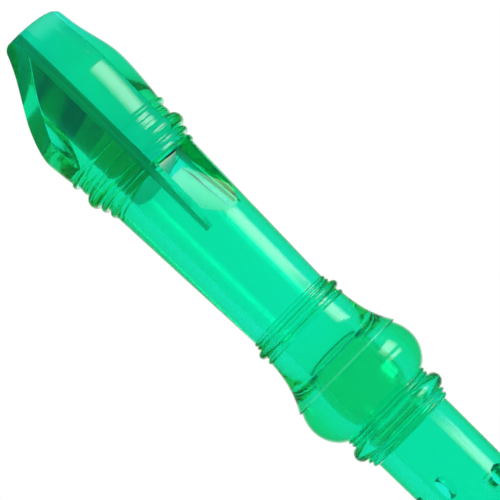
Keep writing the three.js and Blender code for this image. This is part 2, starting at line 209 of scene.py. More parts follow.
rings_end = BEAK_LENGTH + rings_length(BEAK_RINGS)
tube_end = rings_end + TUBE_LENGTH
collar_end = tube_end + rings_length(COLLAR_RINGS)
lip_depth = collar_end + FLARE_LENGTH
bulge_depth = lip_depth + BULGE_RISE_LENGTH
bulge_end = bulge_depth + BULGE_FALL_LENGTH
socket_floor = HEAD_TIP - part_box("middle_joint")[1].z - SOCKET_END_GAP

beak_tip = (TIP_RADIUS, TIP_ROUND)
tip_handle = (
    between(TIP_RADIUS, BELLY_RADIUS, TIP_HANDLE_RISE),
    between(TIP_ROUND, BELLY_DEPTH, TIP_HANDLE_REACH),
)
belly_upper_handle = (BELLY_RADIUS, between(TIP_ROUND, BELLY_DEPTH, BELLY_UPPER_REACH))
beak_belly = (BELLY_RADIUS, BELLY_DEPTH)
belly_lower_handle = (BELLY_RADIUS, between(BELLY_DEPTH, BEAK_LENGTH, BELLY_LOWER_REACH))
beak_end = (BEAK_END_RADIUS, BEAK_LENGTH)
lip_edge = rounded_edge(
    SOCKET_LIP_RADIUS - SOCKET_LIP_ROUND,
    lip_depth - SOCKET_LIP_ROUND,
    SOCKET_LIP_ROUND,
    SOCKET_LIP_TILT,
    math.pi / 2,
)

head_outline = [
    *rounded_edge(TIP_RADIUS - TIP_ROUND, TIP_ROUND, TIP_ROUND, -math.pi / 2, 0),
    *bezier(beak_tip, tip_handle, belly_upper_handle, beak_belly),
    *bezier(beak_belly, belly_lower_handle, beak_end),
    *ring_beads(BEAK_RINGS, BEAK_LENGTH),
    (TUBE_TOP_RADIUS, rings_end),
    (TUBE_END_RADIUS, tube_end),
    *ring_beads(COLLAR_RINGS, tube_end),
    *flare((FLARE_TOP_RADIUS, collar_end), lip_edge[0]),
    *lip_edge,
    *bulge(
        (SOCKET_LIP_RADIUS - SOCKET_LIP_STEP, lip_depth),
        (BULGE_RADIUS, bulge_depth),
        (BULGE_END_RADIUS, bulge_end),
    ),
    *ring_beads(NECK_RINGS, bulge_end),
    (HEAD_SOCKET_RADIUS + SOCKET_CHAMFER, HEAD_LENGTH),
    (HEAD_SOCKET_RADIUS, HEAD_LENGTH - SOCKET_CHAMFER),
    (HEAD_SOCKET_RADIUS, socket_floor),
    (HEAD_BORE_RADIUS, socket_floor),
    (HEAD_BORE_RADIUS, 0),
]

# The air's way, seen from the side: the slot for the windway and the hollow, then the window with its ramp
hollow_end = LABIUM_DEPTH + LABIUM_HOLLOW_LENGTH
airway_outline = [
    (0, -CUT_OVERRUN),
    (WINDWAY_ROOF, -CUT_OVERRUN),
    (WINDWAY_ROOF, WINDWAY_LENGTH - WINDWAY_CHAMFER),
    (WINDWAY_ROOF + WINDWAY_CHAMFER, WINDWAY_LENGTH),
    (WINDWAY_ROOF + WINDWAY_CHAMFER, LABIUM_DEPTH),
    (LABIUM_FRONT - LABIUM_EDGE, LABIUM_DEPTH),
    (LABIUM_HOLLOW_FRONT, hollow_end),
    (0, hollow_end),
]
crest_share = (LABIUM_DEPTH + RAMP_LENGTH - rings_end) / TUBE_LENGTH
crest_radius = between(TUBE_TOP_RADIUS, TUBE_END_RADIUS, crest_share)
ramp_slope = (crest_radius - LABIUM_FRONT) / RAMP_LENGTH
clear_radius = BULGE_RADIUS + CUT_OVERRUN
window_outline = [
    (LABIUM_FRONT, WINDWAY_LENGTH),
    (clear_radius, WINDWAY_LENGTH),
    (clear_radius, LABIUM_DEPTH + (clear_radius - LABIUM_FRONT) / ramp_slope),
    (LABIUM_FRONT, LABIUM_DEPTH),
]
window_rim_front = math.sqrt(TUBE_TOP_RADIUS**2 - (WINDOW_WIDTH / 2) ** 2)
window_flare = (WINDOW_WIDTH - WINDWAY_WIDTH) / 2 / (window_rim_front - LABIUM_FRONT)


def mesh_object(name, points, edges=(), faces=()):
    mesh = bpy.data.meshes.new(name)
    mesh.from_pydata(points, edges, faces)
    mesh.update()
    made = bpy.data.objects.new(name, mesh)
    bpy.context.scene.collection.objects.link(made)
    return made


def outline_object(name, outline, top):
    """A closed outline of (radius, depth), as a loop of points in the plane y = 0."""
    kept = []
    for radius, depth in outline:
        point = (radius, 0.0, top - depth)
        if not kept or math.dist(point, kept[-1]) > WELD_DISTANCE:
            kept.append(point)
    count = len(kept)
    return mesh_object(name, kept, edges=[(i, (i + 1) % count) for i in range(count)])


def cross_prism(name, outline, width, top, flare_from=0, flare_slope=0):
    """A solid across the recorder, from its side outline of (distance forward of the axis, depth)."""
    count = len(outline)
    points = []
    for sign in (-1, 1):
        for front, depth in outline:
            half = width / 2 + flare_slope * (front - flare_from)
            points.append((sign * half, -front, top - depth))
    faces = [tuple(range(count)), tuple(range(2 * count - 1, count - 1, -1))]
    for i in range(count):
        j = (i + 1) % count
        faces.append((j, i, count + i, count + j))
    prism = mesh_object(name, points, faces=faces)
    solid = bmesh.new()
    solid.from_mesh(prism.data)
    bmesh.ops.recalc_face_normals(solid, faces=solid.faces)
    solid.to_mesh(prism.data)
    solid.free()
    return prism


def beak_scoop():
    """The round cutter that hollows the beak's underside, from the lip at the tip to the heel behind."""
    lip = Vector((TIP_RADIUS - BEAK_LIP_THICKNESS, 0))
    heel = Vector((-BEAK_END_RADIUS, HEEL_DEPTH))
    chord = heel - lip
    outward = Vector((-chord.y, chord.x)).normalized()
    centre = (lip + heel) / 2 + outward * math.sqrt(SCOOP_RADIUS**2 - chord.length_squared / 4)
    start = math.atan2(lip.y - centre.y, lip.x - centre.x) - SCOOP_OVERRUN
    end = math.atan2(heel.y - centre.y, heel.x - centre.x) + SCOOP_OVERRUN
    outline = [tuple(centre)]
    for step in range(SCOOP_STEPS + 1):
        angle = start + (end - start) * step / SCOOP_STEPS
        outline.append((centre.x + SCOOP_RADIUS * math.cos(angle), centre.y + SCOOP_RADIUS * math.sin(angle)))
    return cross_prism("beak scoop cutter", outline, 2 * (BELLY_RADIUS + CUT_OVERRUN), HEAD_TIP)


def node_maker(tree):
    """Short ways to add any node to a tree, and to add a calculation with one or two values."""

    def node(kind, feeds=(), **settings):
        """A node with its settings, and with inputs fed by values, by sockets or by lists of sockets."""
        made = tree.nodes.new(kind)
        for key, value in settings.items():
            setattr(made, key, value)
        for label, value in dict(feeds).items():
            sources = value if isinstance(value, list) else [value]
            for source in sources:
                if isinstance(source, bpy.types.NodeSocket):
                    tree.links.new(source, made.inputs[label])
                else:
                    made.inputs[label].default_value = source
        return made

    def calculation(operation, first, second=0):
        return node("ShaderNodeMath", {0: first, 1: second}, operation=operation).outputs[0]

    return node, calculation


CUTS = ("First Cut", "Second Cut", "Third Cut")
TURNED_NUMBER = 0
JOINED_NUMBER = 1
FIRST_CUT_NUMBER = 2
DRILL_NUMBER = FIRST_CUT_NUMBER + len(CUTS)

# The numbers of two solids that meet at an edge vary by a quarter or more
MEETING_VARIANCE = 0.1


def turning_tree():
    """Geometry nodes that turn an outline about the bore, join a solid on, cut three away and drill holes."""
    tree = bpy.data.node_groups.new("turned piece", "GeometryNodeTree")
    node, calculation = node_maker(tree)
    tree.interface.new_socket("Outline", in_out="INPUT", socket_type="NodeSocketGeometry")
    sockets = {}
    for label, kind in (
        ("Facets", "NodeSocketInt"),
        ("Joined On", "NodeSocketObject"),
        *((cut, "NodeSocketObject") for cut in CUTS),
        ("Hole Places", "NodeSocketObject"),
        ("Hole Facets", "NodeSocketInt"),
        ("Drill Length", "NodeSocketFloat"),
        ("Sharp Angle", "NodeSocketFloat"),
        ("Finish", "NodeSocketMaterial"),
    ):
        sockets[label] = tree.interface.new_socket(label, in_out="INPUT", socket_type=kind).identifier
    tree.interface.new_socket("Piece", in_out="OUTPUT", socket_type="NodeSocketGeometry")
    given = node("NodeGroupInput").outputs

    def numbered(geometry, number):
        """The same geometry, its faces marked with the number of the solid that they come from."""
        feeds = {"Geometry": geometry, "Name": "solid", "Value": float(number)}
        marked = node("GeometryNodeStoreNamedAttribute", feeds, data_type="FLOAT", domain="FACE")
        return marked.outputs["Geometry"]

    def attribute(name):
        return node("GeometryNodeInputNamedAttribute", {"Name": name}, data_type="FLOAT").outputs["Attribute"]

    def given_object(label):
        info = node("GeometryNodeObjectInfo", {"Object": given[label]}, transform_space="ORIGINAL")
        return info.outputs["Geometry"]

    def combined(operation, feeds):
        return node("GeometryNodeMeshBoolean", feeds, operation=operation, solver="MANIFOLD").outputs["Mesh"]

    def beside_edges(value):
        """The mean of a value over the faces beside an edge."""
        by_face = node("GeometryNodeFieldOnDomain", {"Value": value}, data_type="FLOAT", domain="FACE")
        return by_face.outputs[0]

    # The grid's columns go round the bore and its rows go round the outline
    outline = given["Outline"]
    count = node("GeometryNodeAttributeDomainSize", {"Geometry": outline}).outputs["Point Count"]
    rows = calculation("ADD", count, 1)
    columns = calculation("ADD", given["Facets"], 1)
    grid = node("GeometryNodeMeshGrid", {"Vertices X": columns, "Vertices Y": rows}).outputs["Mesh"]
    index = node("GeometryNodeInputIndex").outputs["Index"]
    row = calculation("MODULO", calculation("MODULO", index, rows), count)
    column = calculation("FLOOR", calculation("DIVIDE", calculation("ADD", index, 0.5), rows))
    angle = calculation("MULTIPLY", calculation("DIVIDE", column, given["Facets"]), 2 * math.pi)
    position = node("GeometryNodeInputPosition").outputs["Position"]
    sample = {"Geometry": outline, "Index": row, "Value": position}
    section = node("GeometryNodeSampleIndex", sample, data_type="FLOAT_VECTOR").outputs["Value"]
    radius, _, height = node("ShaderNodeSeparateXYZ", {"Vector": section}).outputs
    x = calculation("MULTIPLY", radius, calculation("SINE", angle))
    front = calculation("MULTIPLY", radius, calculation("COSINE", angle))
    y = calculation("MULTIPLY", front, -1)
    turned = node("ShaderNodeCombineXYZ", {"X": x, "Y": y, "Z": height}).outputs["Vector"]
    shell = node("GeometryNodeSetPosition", {"Geometry": grid, "Position": turned}).outputs["Geometry"]
    weld = {"Geometry": shell, "Distance": WELD_DISTANCE}
    shell = node("GeometryNodeMergeByDistance", weld).outputs["Geometry"]
    shell = numbered(node("GeometryNodeFlipFaces", {"Mesh": shell}).outputs["Mesh"], TURNED_NUMBER)

    # The solid that is joined on, and the three that are cut away
    shell = combined("UNION", {"Mesh 2": [shell, numbered(given_object("Joined On"), JOINED_NUMBER)]})
    for number, label in enumerate(CUTS, FIRST_CUT_NUMBER):
        cutter = numbered(given_object(label), number)
        shell = combined("DIFFERENCE", {"Mesh 1": shell, "Mesh 2": cutter})

    # A drill of length 1 and diameter 1 lies forward of the axis, and each hole turns and sizes its own copy
    upright = {"Vertices": given["Hole Facets"], "Radius": 0.5, "Depth": 1}
    drill = numbered(node("GeometryNodeMeshCylinder", upright).outputs["Mesh"], DRILL_NUMBER)
    laid = {"Geometry": drill, "Translation": (0, -0.5, 0), "Rotation": (math.pi / 2, 0, 0)}
    diameter = attribute("diameter")
    size = {"X": diameter, "Y": given["Drill Length"], "Z": diameter}
    facing = node("ShaderNodeCombineXYZ", {"Z": attribute("turn")}).outputs["Vector"]
    drills = node(
        "GeometryNodeInstanceOnPoints",
        {
            "Points": given_object("Hole Places"),
            "Instance": node("GeometryNodeTransform", laid).outputs["Geometry"],
            "Rotation": node("FunctionNodeEulerToRotation", {"Euler": facing}).outputs["Rotation"],
            "Scale": node("ShaderNodeCombineXYZ", size).outputs["Vector"],
        },
    ).outputs["Instances"]
    drills = node("GeometryNodeRealizeInstances", {"Geometry": drills}).outputs["Geometry"]
    shell = combined("DIFFERENCE", {"Mesh 1": shell, "Mesh 2": drills})

    # Faces are shaded smooth, and edges stay crisp where they bend a lot or where two solids meet
    smooth = {"Geometry": shell, "Shade Smooth": True}
    shell = node("GeometryNodeSetShadeSmooth", smooth, domain="FACE").outputs[0]
    bend = node("GeometryNodeInputMeshEdgeAngle").outputs["Unsigned Angle"]
    solid = attribute("solid")
    mean = beside_edges(solid)
    mean_square = beside_edges(calculation("MULTIPLY", solid, solid))
    variance = calculation("SUBTRACT", mean_square, calculation("MULTIPLY", mean, mean))
    bent = calculation("GREATER_THAN", bend, given["Sharp Angle"])
    met = calculation("GREATER_THAN", variance, MEETING_VARIANCE)
    crisp = {"Geometry": shell, "Selection": calculation("MAXIMUM", bent, met), "Shade Smooth": False}
    shell = node("GeometryNodeSetShadeSmooth", crisp, domain="EDGE").outputs[0]
    unmarked = node("GeometryNodeRemoveAttribute", {"Geometry": shell, "Name": "solid"}).outputs["Geometry"]
    whole = node("GeometryNodeRealizeInstances", {"Geometry": unmarked}).outputs["Geometry"]
    finished = node("GeometryNodeSetMaterial", {"Geometry": whole, "Material": given["Finish"]})
    node("NodeGroupOutput", {"Piece": finished.outputs["Geometry"]})
    return tree, sockets


TURNING, TURNING_SOCKETS = turning_tree()


def turned_piece(name, outline, top, finish, extras):
    """Runs the turning nodes on an outline, keeps the result as a plain mesh and clears its cutters away."""
    piece = outline_object(name, outline, top)
    modifier = piece.modifiers.new("turning", "NODES")
    modifier.node_group = TURNING
    values = {"Facets": TURNED_FACETS, "Hole Facets": HOLE_FACETS, "Sharp Angle": SHARP_ANGLE}
    for label, value in {**values, "Finish": finish, **extras}.items():
        modifier[TURNING_SOCKETS[label]] = value
    evaluated = piece.evaluated_get(bpy.context.evaluated_depsgraph_get())
    mesh = bpy.data.meshes.new_from_object(evaluated)
    mesh.name = name
    piece.modifiers.remove(modifier)
    mesh.materials.clear()
    mesh.materials.append(finish)
    mesh.polygons.foreach_set("material_index", [0] * len(mesh.polygons))
    piece.data = mesh
    for extra in extras.values():
        if isinstance(extra, bpy.types.Object):
            bpy.data.objects.remove(extra)
    return piece


# The plastic: its surface's colour, how strongly it absorbs red, green and blue per metre, and its finish
CLEAR_TINT = (0.015, 0.94, 0.77)
CLEAR_ABSORBED = (120, 10, 47)
CLEAR_ROUGHNESS = 0.07
CLEAR_SHARE = 0.965
PLASTIC_IOR = 1.5

# Where the plastic is matt, where shade and a reflection are painted on it, and how
SATIN_MARGIN = 0.0001
# How far below the windway's floor the painted shade on the slot's walls reaches, and how much of it is left
# in the hollow
SHADED_WALL_DEPTH = 0.0018
HOLLOW_WALL_SHADE_SHARE = 0.7
SATIN_TINT = (0.03, 1.0, 0.95)
# The colours of the painted shade on the slot's walls and of its darker painted streaks
WALL_SHADE_TINT = (0.02, 0.65, 0.34)
WALL_SHADE_STREAK_TINT = (0.01, 0.3, 0.15)
WALL_SHADE_STREAK_RANGE = (-1.0, 2.0)
# A pale colour painted on the block's frosted end as a painted reflection, and the level that leaves it off
PAINTED_REFLECTION_TINT = (0.9, 1.0, 0.88)
NO_FROST_AND_REFLECTION_LEVEL = -1.0
MATT_CLEAR_SHARE = 0.1
MATT_ROUGHNESS = 0.4

# Where the mouth is painted pale and the socket's lip carries a painted highlight, and how
MOUTH_DEPTH = 0.006
# A pale colour painted on the mouth and, as a painted highlight, on the socket's lip, and how much clearness
# they take away
PALE_MOUTH_AND_LIP_HIGHLIGHT_TINT = (0.6, 1.0, 0.9)
PALE_MOUTH_AND_LIP_HIGHLIGHT_SHARE = 0.25
PALE_MOUTH_AND_LIP_HIGHLIGHT_CLOUDING = 0.1

# The streaks of the moulding and the fine grain over them
STREAK_STRETCH = (1.0, 1.0, 0.03)
STREAK_SCALE = 900.0
STREAK_DETAIL = 4.0
STREAK_ROUGHNESS_RANGE = (0.4, 1.6)
GRAIN_SCALE = 3500.0
GRAIN_DETAIL = 2.0
GRAIN_HEIGHT = 0.03
RELIEF_STRENGTH = 0.1
RELIEF_DEPTH = 0.00001

# The places of a mix node's sockets for colours
MIX_SHARE, MIX_FIRST, MIX_SECOND, MIX_RESULT = 0, 6, 7, 2


def clear_plastic(name, tint, absorbed, roughness, frost_and_reflection_level=NO_FROST_AND_REFLECTION_LEVEL, frost_and_reflection_slope=0.0):
    """Clear plastic that is darker where it is deeper, with moulding streaks.

    The windway and its walls are satin, with painted shade on the walls of its slot. The mouth is painted
    pale, the socket's lip carries a painted highlight, and what lies below a plane is frosted and painted
    pale as a painted reflection. The plane has its level on the axis and rises towards the front by the
    slope.
    """
    material = bpy.data.materials.new(name)
    material.use_nodes = True
    tree = material.node_tree
    node, calculation = node_maker(tree)

    def spread(value, low, high, start=0.0, end=1.0):
        """A value carried over from the range of start and end to the range of low and high."""
        feeds = {"Value": value, "From Min": start, "From Max": end, "To Min": low, "To Max": high}
        return node("ShaderNodeMapRange", feeds).outputs["Result"]

    def above(value, limit):
        return calculation("GREATER_THAN", value, limit)

    def below(value, limit):
        return calculation("LESS_THAN", value, limit)

    def both(first, second):
        return calculation("MULTIPLY", first, second)

    def either(first, second):
        return calculation("MAXIMUM", first, second)

    place = node("ShaderNodeTexCoord").outputs["Object"]
    x, y, z = node("ShaderNodeSeparateXYZ", {"Vector": place}).outputs
    across = calculation("ABSOLUTE", x)
    front = calculation("MULTIPLY", y, -1)
    half_width = WINDWAY_WIDTH / 2
    window_level = HEAD_TIP - WINDWAY_LENGTH
    labium_level = HEAD_TIP - LABIUM_DEPTH

    # The windway's faces, and the side walls of its slot, which carry painted shade that is fainter in the
    # hollow below the labium
    in_slot = both(below(across, half_width + SATIN_MARGIN), below(front, WINDWAY_ROOF + SATIN_MARGIN))
    satin = both(in_slot, above(front, WINDWAY_FLOOR - SATIN_MARGIN))
    satin = both(satin, above(z, window_level))
    painted_wall_shade = both(in_slot, above(across, half_width - SATIN_MARGIN))
    painted_wall_shade = both(painted_wall_shade, above(front, WINDWAY_FLOOR - SHADED_WALL_DEPTH))
    painted_wall_shade = both(painted_wall_shade, spread(z, HOLLOW_WALL_SHADE_SHARE, 1.0, labium_level, window_level))
    painted_wall_shade = both(painted_wall_shade, above(z, labium_level - LABIUM_HOLLOW_LENGTH))

    # The frost, which also carries a painted reflection in pale; the mouth painted pale, as wide as the
    # windway; and a painted highlight on the edge of the socket's lip
    frost_and_painted_reflection = below(calculation("ADD", both(y, frost_and_reflection_slope), z), frost_and_reflection_level)
    matt = either(either(satin, painted_wall_shade), frost_and_painted_reflection)
    pale_mouth = spread(z, 0.0, 1.0, HEAD_TIP - MOUTH_DEPTH, HEAD_TIP - MOUTH_DEPTH / 2)
    pale_mouth = both(both(pale_mouth, above(front, 0)), below(across, half_width))
    # A painted highlight on the rounded edge of the socket's lip
    level_place = node("ShaderNodeCombineXYZ", {"X": x, "Y": y}).outputs["Vector"]
    radius = node("ShaderNodeVectorMath", {0: level_place}, operation="LENGTH").outputs["Value"]
    lip_middle = HEAD_TIP - lip_depth + SOCKET_LIP_ROUND
    from_lip = calculation("ABSOLUTE", calculation("SUBTRACT", z, lip_middle))
    lip_painted_highlight = both(below(from_lip, SOCKET_LIP_ROUND), above(radius, SOCKET_LIP_RADIUS - SOCKET_LIP_ROUND))
    pale_mouth_and_lip_highlight = either(pale_mouth, lip_painted_highlight)

    # Streaks run along the moulding, and a finer grain lies over them
    stretched = node("ShaderNodeMapping", {"Vector": place, "Scale": STREAK_STRETCH}).outputs["Vector"]
    streak_noise = {"Vector": stretched, "Scale": STREAK_SCALE, "Detail": STREAK_DETAIL}
    streaks = node("ShaderNodeTexNoise", streak_noise).outputs["Fac"]
    grain_noise = {"Vector": place, "Scale": GRAIN_SCALE, "Detail": GRAIN_DETAIL}
    grain = node("ShaderNodeTexNoise", grain_noise).outputs["Fac"]
    height = calculation("ADD", calculation("MULTIPLY", grain, GRAIN_HEIGHT), streaks)
    relief = {"Strength": RELIEF_STRENGTH, "Distance": RELIEF_DEPTH, "Height": height}

    colour = (*tint, 1)
    # The surface's colour, with painted shade on the slot's walls, the mouth painted pale, a painted
    # highlight on the socket's lip and a painted reflection on the block's end
    for share, other in (
        (satin, SATIN_TINT),
        (painted_wall_shade, WALL_SHADE_TINT),
        (both(painted_wall_shade, spread(streaks, *WALL_SHADE_STREAK_RANGE)), WALL_SHADE_STREAK_TINT),
        (both(pale_mouth_and_lip_highlight, PALE_MOUTH_AND_LIP_HIGHLIGHT_SHARE), PALE_MOUTH_AND_LIP_HIGHLIGHT_TINT),
        (frost_and_painted_reflection, PAINTED_REFLECTION_TINT),
    ):
        mix = {MIX_SHARE: share, MIX_FIRST: colour, MIX_SECOND: (*other, 1)}
        colour = node("ShaderNodeMix", mix, data_type="RGBA").outputs[MIX_RESULT]

    streaked = both(spread(streaks, *STREAK_ROUGHNESS_RANGE), roughness)
    clear = spread(matt, CLEAR_SHARE, MATT_CLEAR_SHARE)
    surface = tree.nodes["Principled BSDF"].inputs
    surface["IOR"].default_value = PLASTIC_IOR
    tree.links.new(colour, surface["Base Color"])
    tree.links.new(calculation("ADD", streaked, both(matt, MATT_ROUGHNESS)), surface["Roughness"])
    tree.links.new(calculation("SUBTRACT", clear, both(pale_mouth_and_lip_highlight, PALE_MOUTH_AND_LIP_HIGHLIGHT_CLOUDING)), surface["Transmission Weight"])
    tree.links.new(node("ShaderNodeBump", relief).outputs["Normal"], surface["Normal"])

    passed = [1 - part / max(absorbed) for part in absorbed]
    absorption = node("ShaderNodeVolumeAbsorption", {"Color": (*passed, 1), "Density": max(absorbed)})
    tree.links.new(absorption.outputs["Volume"], tree.nodes["Material Output"].inputs["Volume"])
    return material


CLEAR_GREEN = clear_plastic("clear_green_plastic", CLEAR_TINT, CLEAR_ABSORBED, CLEAR_ROUGHNESS)

head_joint = turned_piece(
    "head_joint_moulding",
    head_outline,
    HEAD_TIP,
    CLEAR_GREEN,
    {
        "First Cut": cross_prism("airway cutter", airway_outline, WINDWAY_WIDTH, HEAD_TIP),
        "Second Cut": beak_scoop(),
        "Third Cut": cross_prism(
            "window cutter",
            window_outline,
            WINDWAY_WIDTH,
            HEAD_TIP,
            flare_from=LABIUM_FRONT,
            flare_slope=window_flare,
        ),
    },
)
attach(head_joint, "head")
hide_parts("head_joint")


# Block
# The plug that closes the bore behind the beak, a second moulding in the same plastic. Its flat ridge is the
# windway's floor, and it is pressed in until its lower end is level with the window's upper edge.

BLOCK_CLEARANCE = 0.00008
BLOCK_END_DROP = 0.0028
# The block's plastic is given a deeper green that absorbs more, as painted shade where the block is seen
# through the beak
BLOCK_SHADED_TINT = (0.01, 0.84, 0.36)
BLOCK_SHADED_ABSORBED = (190, 54, 190)
BLOCK_ROUGHNESS = 0.12

block_radius = HEAD_BORE_RADIUS - BLOCK_CLEARANCE
block_end = WINDWAY_LENGTH + BLOCK_END_DROP
block_outline = [(0, 0), (block_radius, 0), (block_radius, block_end), (0, block_end)]
ridge_width = WINDWAY_WIDTH - 2 * BLOCK_CLEARANCE
ridge_top = WINDWAY_FLOOR + HEAD_BORE_RADIUS
ridge_outline = [(0, 0), (ridge_top, 0), (ridge_top, block_end), (0, block_end)]
windway_outline = [
    (WINDWAY_FLOOR, -CUT_OVERRUN),
    (ridge_top + CUT_OVERRUN, -CUT_OVERRUN),
    (ridge_top + CUT_OVERRUN, WINDWAY_LENGTH + CUT_OVERRUN),
    (WINDWAY_FLOOR - WINDWAY_CHAMFER - CUT_OVERRUN, WINDWAY_LENGTH + CUT_OVERRUN),
    (WINDWAY_FLOOR, WINDWAY_LENGTH - WINDWAY_CHAMFER),
]
end_slope = BLOCK_END_DROP / (WINDWAY_FLOOR + block_radius)
end_outline = [
    (ridge_top, WINDWAY_LENGTH + (WINDWAY_FLOOR - ridge_top) * end_slope),
    (ridge_top, block_end + HEAD_BORE_RADIUS),
    (-ridge_top, block_end + HEAD_BORE_RADIUS),
    (-ridge_top, WINDWAY_LENGTH + (WINDWAY_FLOOR + ridge_top) * end_slope),
]
cut_width = 2 * (WINDWAY_WIDTH + CUT_OVERRUN)
# Below this plane the block's end is frosted and painted pale, as a painted reflection
frost_and_reflection_level = HEAD_TIP - WINDWAY_LENGTH - WINDWAY_FLOOR * end_slope + SATIN_MARGIN
BLOCK_SHADED_GREEN = clear_plastic(
    "block_green_plastic", BLOCK_SHADED_TINT, BLOCK_SHADED_ABSORBED, BLOCK_ROUGHNESS, frost_and_reflection_level, end_slope
)
block = turned_piece(
    "block_moulding",
    block_outline,
    HEAD_TIP,
    BLOCK_SHADED_GREEN,
    {
        "Joined On": cross_prism("ridge", ridge_outline, ridge_width, HEAD_TIP),
        "First Cut": cross_prism("windway cutter", windway_outline, cut_width, HEAD_TIP),
        "Second Cut": beak_scoop(),
        "Third Cut": cross_prism("block end cutter", end_outline, cut_width, HEAD_TIP),
    },
)
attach(block, "head")
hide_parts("block")


# Middle joint
# The long tapered tube under the hands, with a bare tenon at each end. The holes are moulded through its
# wall: one for the thumb behind, five for the fingers in front, and a pair of small ones side by side.

SHOULDER_GAP = 0.0001
MIDDLE_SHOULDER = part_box("head_joint")[0].z - SHOULDER_GAP
MIDDLE_LENGTH = 0.124
MIDDLE_TOP_RADIUS = 0.0108
MIDDLE_END_RADIUS = 0.0096
MIDDLE_TOP_BORE = 0.0069
MIDDLE_END_BORE = 0.0054
HEAD_TENON_LENGTH = 0.0235
HEAD_TENON_RADIUS = 0.0089
FOOT_TENON_LENGTH = 0.0135
FOOT_TENON_RADIUS = 0.0079
TENON_CHAMFER = 0.0005
TWIN_HOLE_DIAMETER = 0.0032
TWIN_HOLE_SHIFT = 0.0023
MIDDLE_TWIN_DEPTH = 0.118


def twin_holes(depth):
    return [(depth, TWIN_HOLE_DIAMETER, shift, 0) for shift in (-TWIN_HOLE_SHIFT, TWIN_HOLE_SHIFT)]


# Each hole: its depth below the shoulder, its diameter, its shift across and its turn round the tube
MIDDLE_HOLES = [
    (0.0147, 0.006, 0, math.pi),
    (0.0209, 0.0055, 0, 0),
    (0.0395, 0.0058, 0, 0),
    (0.0575, 0.0054, 0, 0),
    (0.0825, 0.0058, 0, 0),
    (0.1, 0.0056, 0, 0),
    *twin_holes(MIDDLE_TWIN_DEPTH),
]


def hole_places(name, holes, top):
    """Points in the plane y = 0, one to a hole, that carry the hole's diameter and turn."""
    places = mesh_object(name, [(shift, 0, top - depth) for depth, diameter, shift, turn in holes])
    for label, column in (("diameter", 1), ("turn", 3)):
        attribute = places.data.attributes.new(label, "FLOAT", "POINT")
        attribute.data.foreach_set("value", [hole[column] for hole in holes])
    return places


middle_end = MIDDLE_LENGTH + FOOT_TENON_LENGTH
middle_outline = [
    (HEAD_TENON_RADIUS - TENON_CHAMFER, -HEAD_TENON_LENGTH),
    (HEAD_TENON_RADIUS, TENON_CHAMFER - HEAD_TENON_LENGTH),
    (HEAD_TENON_RADIUS, 0),
    (MIDDLE_TOP_RADIUS, 0),
    (MIDDLE_END_RADIUS, MIDDLE_LENGTH),
    (FOOT_TENON_RADIUS, MIDDLE_LENGTH),
    (FOOT_TENON_RADIUS, middle_end - TENON_CHAMFER),
    (FOOT_TENON_RADIUS - TENON_CHAMFER, middle_end),
    (MIDDLE_END_BORE, middle_end),
    (MIDDLE_TOP_BORE, -HEAD_TENON_LENGTH),
]
middle_joint = turned_piece(
    "middle_joint_moulding",
    middle_outline,
    MIDDLE_SHOULDER,
    CLEAR_GREEN,
    {
        "Hole Places": hole_places("middle hole places", MIDDLE_HOLES, MIDDLE_SHOULDER),
        "Drill Length": MIDDLE_TOP_RADIUS + CUT_OVERRUN,
    },
)
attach(middle_joint, "middle")
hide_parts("middle_joint")


# Foot joint
# The short lower joint, moulded like the head, that turns on the middle joint's lower tenon. It has a swollen
# socket, a twin hole for the little finger, a collar of rings and a ringed bell that the recorder stands on.

FOOT_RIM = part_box("foot_joint")[1].z
FOOT_RIM_RINGS = [(0, 0.0012, 0.011, 0.0005), (0.0002, 0.0012, 0.0112, 0.0008)]
FOOT_BULGE_RADIUS = 0.0136
FOOT_BULGE_TOP_RADIUS = 0.0116
FOOT_BULGE_RISE_LENGTH = 0.0046
FOOT_BULGE_FALL_LENGTH = 0.0074
FOOT_BULGE_END_RADIUS = 0.011
FOOT_NECK_RINGS = [(0.0002, 0.0009, 0.0106, 0.0005), (0.0002, 0.0009, 0.0106, 0.0005)]
FOOT_TUBE_TOP_RADIUS = 0.0104
FOOT_TUBE_END_RADIUS = 0.0096
FOOT_TUBE_LENGTH = 0.0232
FOOT_TWIN_DEPTH = 0.02
FOOT_COLLAR_RINGS = [
    (0, 0.001, 0.0096, 0.0005),
    (0.0002, 0.0022, 0.0097, 0.0013),
    (0.0002, 0.001, 0.0098, 0.0005),
]
BELL_TOP_RADIUS = 0.0099
BELL_RADIUS = 0.013
BELL_LENGTH = 0.0174
BELL_RINGS = [(0, 0.0026, 0.0128, 0.0009)]
BASE_RADIUS = 0.0126
BASE_CHAMFER = 0.0008
FOOT_BORE_RADIUS = 0.0053
FOOT_MOUTH_CHAMFER = 0.001
FOOT_SOCKET_RADIUS = 0.008
FOOT_SOCKET_DEPTH = 0.0139

